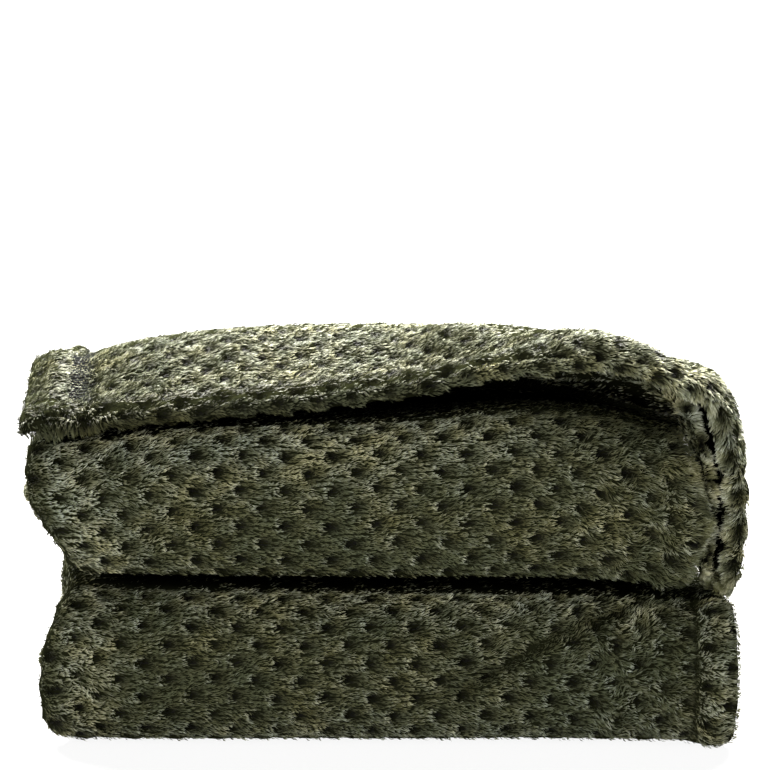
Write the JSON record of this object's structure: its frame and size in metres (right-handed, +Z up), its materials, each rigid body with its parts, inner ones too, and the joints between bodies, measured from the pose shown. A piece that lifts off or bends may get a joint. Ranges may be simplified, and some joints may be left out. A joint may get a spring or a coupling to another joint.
{
  "type": "fleece blanket",
  "caption": "Textured fleece throw with turned hems, folded and stacked, its top flap drooping over one side; rests flat on a shelf, bed or table.",
  "frame": {"origin": "centre of the folded stack's footprint, on the surface it rests on", "axes": "+X to the viewer's right along the folds, +Y to the rear, +Z up; the rounded folds face -Y"},
  "size_m": [0.4526, 0.3274, 0.2491],
  "materials": {
    "fleece": "deep plush pile in a dimpled waffle relief, olive green, paler at the fibre tips"
  },
  "bodies": {
    "root": {"blanket": "fleece"}
  },
  "joints": []
}
